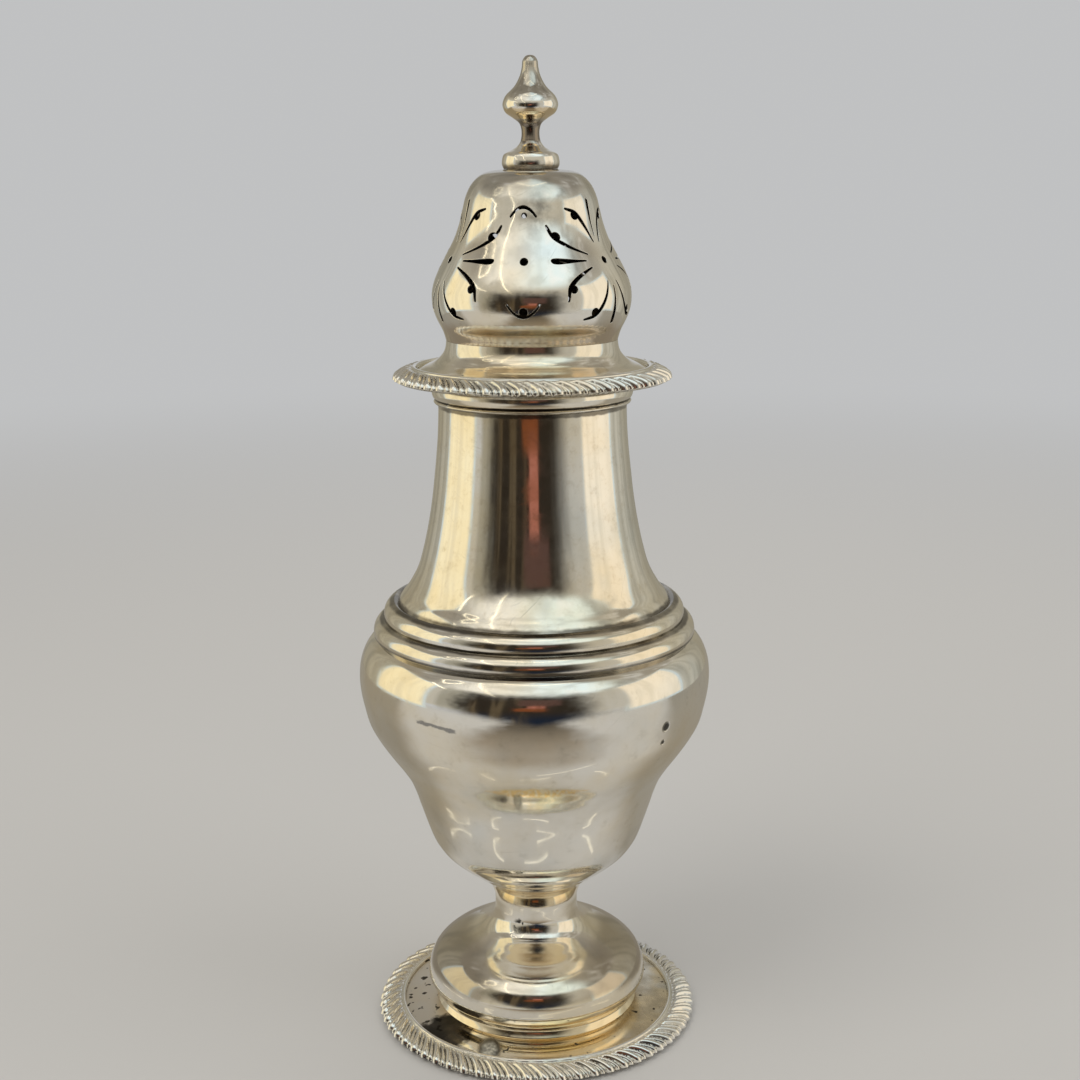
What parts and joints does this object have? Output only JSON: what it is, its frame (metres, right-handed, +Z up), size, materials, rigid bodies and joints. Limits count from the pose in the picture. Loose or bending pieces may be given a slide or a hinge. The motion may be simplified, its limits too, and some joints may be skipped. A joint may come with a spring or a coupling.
{
  "type": "sugar caster",
  "caption": "Baluster sugar caster: gadrooned spreading foot, waisted pear-shaped body with a reeded girdle, and a pierced lift-off cover topped by a finial.",
  "frame": {"origin": "on the axis, at the underside of the foot", "axes": "+Z up along the axis to the finial, -Y to the pictured side, +X to its right"},
  "size_m": [0.0728, 0.0728, 0.2],
  "materials": {
    "silver": "raised sheet silver, mirror polished, with fine scratches and light warm tarnish",
    "cast_silver": "cast silver, polished on the high parts, dark tarnish in the hollows",
    "sleeve_silver": "plain sheet silver, satin from sliding, slightly yellowed"
  },
  "bodies": {
    "body": {"foot_gadroon": "cast_silver", "foot_flange": "silver", "foot_dome": "silver", "stem_ring": "silver", "stem_spool": "silver", "lower_body": "silver", "reeded_girdle": "silver", "upper_body": "silver", "mouth_moulding": "silver"},
    "cover": {"bezel": "sleeve_silver", "cover_collar": "silver", "cover_gadroon": "cast_silver", "pierced_dome": "silver", "finial_base": "cast_silver", "finial": "cast_silver"}
  },
  "joints": [
    {"name": "cover_lift", "type": "slide", "parent": "body", "child": "cover", "axis": [0, 0, 1], "range_m": [0, 0.03]}
  ]
}
